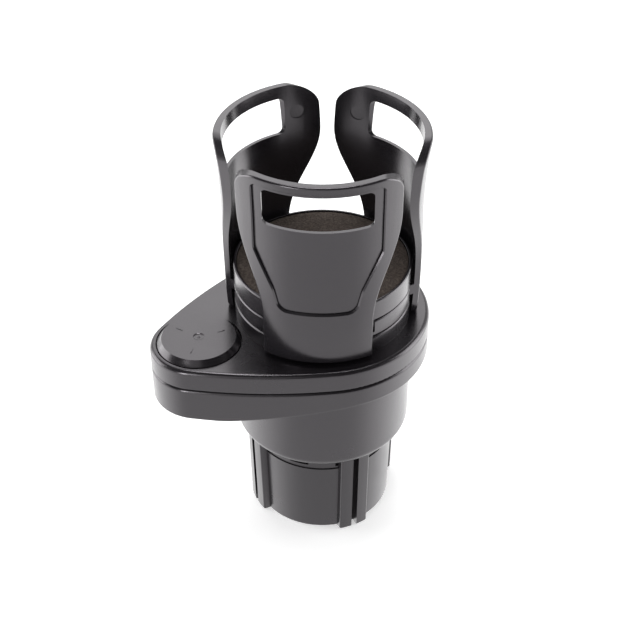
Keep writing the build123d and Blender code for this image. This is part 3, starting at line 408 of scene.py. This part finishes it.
class CUPHOLDER_OT_foam_pads(bpy.types.Operator):
    """Make the platform's foam pad and dress the lower one"""
    bl_idname = "cupholder.foam_pads"
    bl_label = "Foam Pads"

    def execute(self, context):
        settings = context.scene.cup_holder
        low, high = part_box("platform_pad")
        mesh = foam_disc(low, high, settings.sizes.foam_edge)
        pad = link_object("platform_foam", mesh, foam_material(settings))
        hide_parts("platform_pad")
        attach(pad, "platform")
        lower = dressed_copy("base_pad", foam_material(settings), settings.sizes.foam_edge)
        return {"FINISHED"}


class CUPHOLDER_OT_cap_dashes(bpy.types.Operator):
    """Make the three plain raised dashes on the pivot cap"""
    bl_idname = "cupholder.cap_dashes"
    bl_label = "Cap Dashes"

    def execute(self, context):
        settings = context.scene.cup_holder
        sizes = settings.sizes
        bm = bmesh.new()
        for angle in DASH_ANGLES:
            made = bmesh.ops.create_cube(bm, size=1.0)["verts"]
            bmesh.ops.scale(bm, verts=made, vec=(sizes.dash_length, sizes.dash_width,
                                                 2 * sizes.dash_height))
            bmesh.ops.translate(bm, verts=made, vec=(sizes.dash_reach, 0, 0))
            bmesh.ops.rotate(bm, verts=made, cent=(0, 0, 0),
                             matrix=Matrix.Rotation(math.radians(angle), 3, "Z"))
        bmesh.ops.translate(bm, verts=bm.verts, vec=(PIVOT_X, 0, CAP_TOP))
        bmesh.ops.bevel(bm, geom=bm.edges[:], offset=0.4 * sizes.dash_height, segments=2,
                        profile=0.5, affect="EDGES", clamp_overlap=True, material=-1)
        mark_sharp(bm, PIECE_EDGE_ANGLE)
        mesh = bpy.data.meshes.new("cap_dashes")
        bm.to_mesh(mesh)
        bm.free()
        piece = link_object("cap_dashes", mesh, shell_material(settings))
        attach(piece, "swing_arm")
        return {"FINISHED"}


def studio_place(right, back, up):
    """Point in the room, counted from the holder as the camera sees it, in metres."""
    return Matrix.Rotation(CAMERA_AZIMUTH, 3, "Z") @ Vector((right, back, up))


def softbox(name, place, size, power):
    """Soft lamp that hangs in the room and looks at the middle of the holder."""
    lamp = bpy.data.lights.new(name, "AREA")
    lamp.shape = "RECTANGLE"
    lamp.size, lamp.size_y = size
    lamp.energy = power
    holder = bpy.data.objects.new(name, lamp)
    holder.location = studio_place(*place)
    beam = LAMP_AIM - holder.location
    holder.rotation_euler = beam.to_track_quat("-Z", "Y").to_euler()
    holder.visible_camera = False
    bpy.context.scene.collection.objects.link(holder)


def white_floor(colour):
    """Matt white floor that keeps the holder's shadow and glows to the eye."""
    floor, tree, output, _ = new_material("matt_white_floor")
    matt = add_node(tree, "ShaderNodeBsdfDiffuse", Color=shade(colour, 1))
    rays = add_node(tree, "ShaderNodeLightPath")
    glow = add_node(tree, "ShaderNodeEmission", Strength=FLOOR_GLOW)
    both = add_node(tree, "ShaderNodeAddShader",
                    {0: matt.outputs["BSDF"], 1: glow.outputs["Emission"]})
    seen = add_node(tree, "ShaderNodeMath", {0: rays.outputs["Is Camera Ray"],
                                             1: rays.outputs["Is Transmission Ray"]},
                    operation="MAXIMUM")
    mix = add_node(tree, "ShaderNodeMixShader", {"Fac": seen.outputs["Value"],
                                                 1: matt.outputs["BSDF"],
                                                 2: both.outputs["Shader"]})
    tree.links.new(mix.outputs["Shader"], output.inputs["Surface"])
    return floor


def floor_glow(tree, way):
    """Strength of the lit floor in reflections: brighter towards both sides of the room,
    slightly behind the holder, where the lamps light it most."""
    turn = math.radians(114)
    sides = []
    for side in (-1, 1):
        brightest = studio_place(side * math.sin(turn), -math.cos(turn), 0)
        towards = add_node(tree, "ShaderNodeVectorMath", {0: way, 1: brightest},
                           operation="DOT_PRODUCT")
        sides.append(towards.outputs["Value"])
    nearer = add_node(tree, "ShaderNodeMath", dict(enumerate(sides)), operation="MAXIMUM")
    glow = add_node(tree, "ShaderNodeMapRange", {"Value": nearer.outputs["Value"]},
                    interpolation_type="SMOOTHSTEP", From_Min=0.15, From_Max=1.0, To_Min=1.46,
                    To_Max=3.1)
    return glow.outputs["Result"]


def tent_world():
    """White tent round the holder, open and dim above the camera. Reflections find the lit
    floor below the horizon here, because the floor's own mesh is hidden from them."""
    world = bpy.data.worlds.new("studio")
    world.use_nodes = True
    tree = world.node_tree
    tree.nodes.clear()
    way = add_node(tree, "ShaderNodeTexCoord").outputs["Generated"]
    lean = math.radians(65)
    above_camera = studio_place(0, -math.cos(lean), math.sin(lean))
    opening = add_node(tree, "ShaderNodeVectorMath", {0: way, 1: above_camera},
                       operation="DOT_PRODUCT")
    level = add_node(tree, "ShaderNodeMapRange", {"Value": opening.outputs["Value"]},
                     interpolation_type="SMOOTHSTEP", From_Min=0.22, From_Max=0.5, To_Min=1.0,
                     To_Max=0.1)
    height = add_node(tree, "ShaderNodeSeparateXYZ", {"Vector": way}).outputs["Z"]
    below = add_node(tree, "ShaderNodeMath", {0: height, 1: 0.0}, operation="LESS_THAN")
    rays = add_node(tree, "ShaderNodeLightPath")
    reflected = add_node(tree, "ShaderNodeMath", {0: rays.outputs["Is Glossy Ray"],
                                                  1: below.outputs["Value"]},
                         operation="MULTIPLY")
    strength = add_node(tree, "ShaderNodeMapRange", {"Value": reflected.outputs["Value"],
                                                     "To Min": level.outputs["Result"],
                                                     "To Max": floor_glow(tree, way)})
    tent = add_node(tree, "ShaderNodeBackground", {"Strength": strength.outputs["Result"]})
    output = add_node(tree, "ShaderNodeOutputWorld")
    tree.links.new(tent.outputs["Background"], output.inputs["Surface"])
    return world


def photo_camera():
    """Camera at the photograph's viewing angle."""
    outward = studio_place(0, -math.cos(CAMERA_ELEVATION), math.sin(CAMERA_ELEVATION))
    lens = bpy.data.cameras.new("camera")
    lens.lens = CAMERA_LENS
    lens.sensor_width = CAMERA_SENSOR
    lens.sensor_fit = "HORIZONTAL"
    lens.clip_start = CAMERA_NEAREST
    camera = bpy.data.objects.new("camera", lens)
    camera.location = CAMERA_TARGET + CAMERA_DISTANCE * outward
    camera.rotation_euler = (-outward).to_track_quat("-Z", "Y").to_euler()
    bpy.context.scene.collection.objects.link(camera)
    return camera


class CUPHOLDER_OT_stage(bpy.types.Operator):
    """Make the floor, the lamps, the world and the camera"""
    bl_idname = "cupholder.stage"
    bl_label = "Stage"

    def execute(self, context):
        scene = context.scene
        scene.view_settings.view_transform = "Standard"
        bm = bmesh.new()
        bmesh.ops.create_grid(bm, x_segments=1, y_segments=1, size=FLOOR_REACH)
        mesh = bpy.data.meshes.new("studio_floor")
        bm.to_mesh(mesh)
        bm.free()
        floor = link_object("studio_floor", mesh, white_floor(scene.cup_holder.colours.floor))
        floor.visible_glossy = False
        scene.world = tent_world()
        for lamp in SOFTBOXES:
            softbox(*lamp)
        scene.camera = photo_camera()
        return {"FINISHED"}


OPERATORS = (CUPHOLDER_OT_stage, CUPHOLDER_OT_shells, CUPHOLDER_OT_jaws, CUPHOLDER_OT_petals,
             CUPHOLDER_OT_foam_pads, CUPHOLDER_OT_cap_dashes, CUPHOLDER_OT_fasteners)


class CUPHOLDER_PT_panel(bpy.types.Panel):
    """Lists the steps that dress the cup holder, with their sizes and colours"""
    bl_idname = "CUPHOLDER_PT_panel"
    bl_label = "Cup Holder"
    bl_space_type = "VIEW_3D"
    bl_region_type = "UI"
    bl_category = "Cup Holder"

    def draw(self, context):
        settings = context.scene.cup_holder
        for operator in OPERATORS:
            self.layout.operator(operator.bl_idname)
        for group in (settings.colours, settings.sizes):
            box = self.layout.box()
            for name in group.bl_rna.properties.keys():
                if name not in ("rna_type", "name"):
                    box.prop(group, name)


CLASSES = (CupHolderColours, CupHolderSizes, CupHolderSettings, *OPERATORS, CUPHOLDER_PT_panel)


def register():
    for one in CLASSES:
        bpy.utils.register_class(one)
    bpy.types.Scene.cup_holder = bpy.props.PointerProperty(type=CupHolderSettings)


def unregister():
    del bpy.types.Scene.cup_holder
    for one in reversed(CLASSES):
        bpy.utils.unregister_class(one)


def main():
    register()
    for operator in OPERATORS:
        group, name = operator.bl_idname.split(".")
        getattr(getattr(bpy.ops, group), name)()


if __name__ == "__main__":
    main()
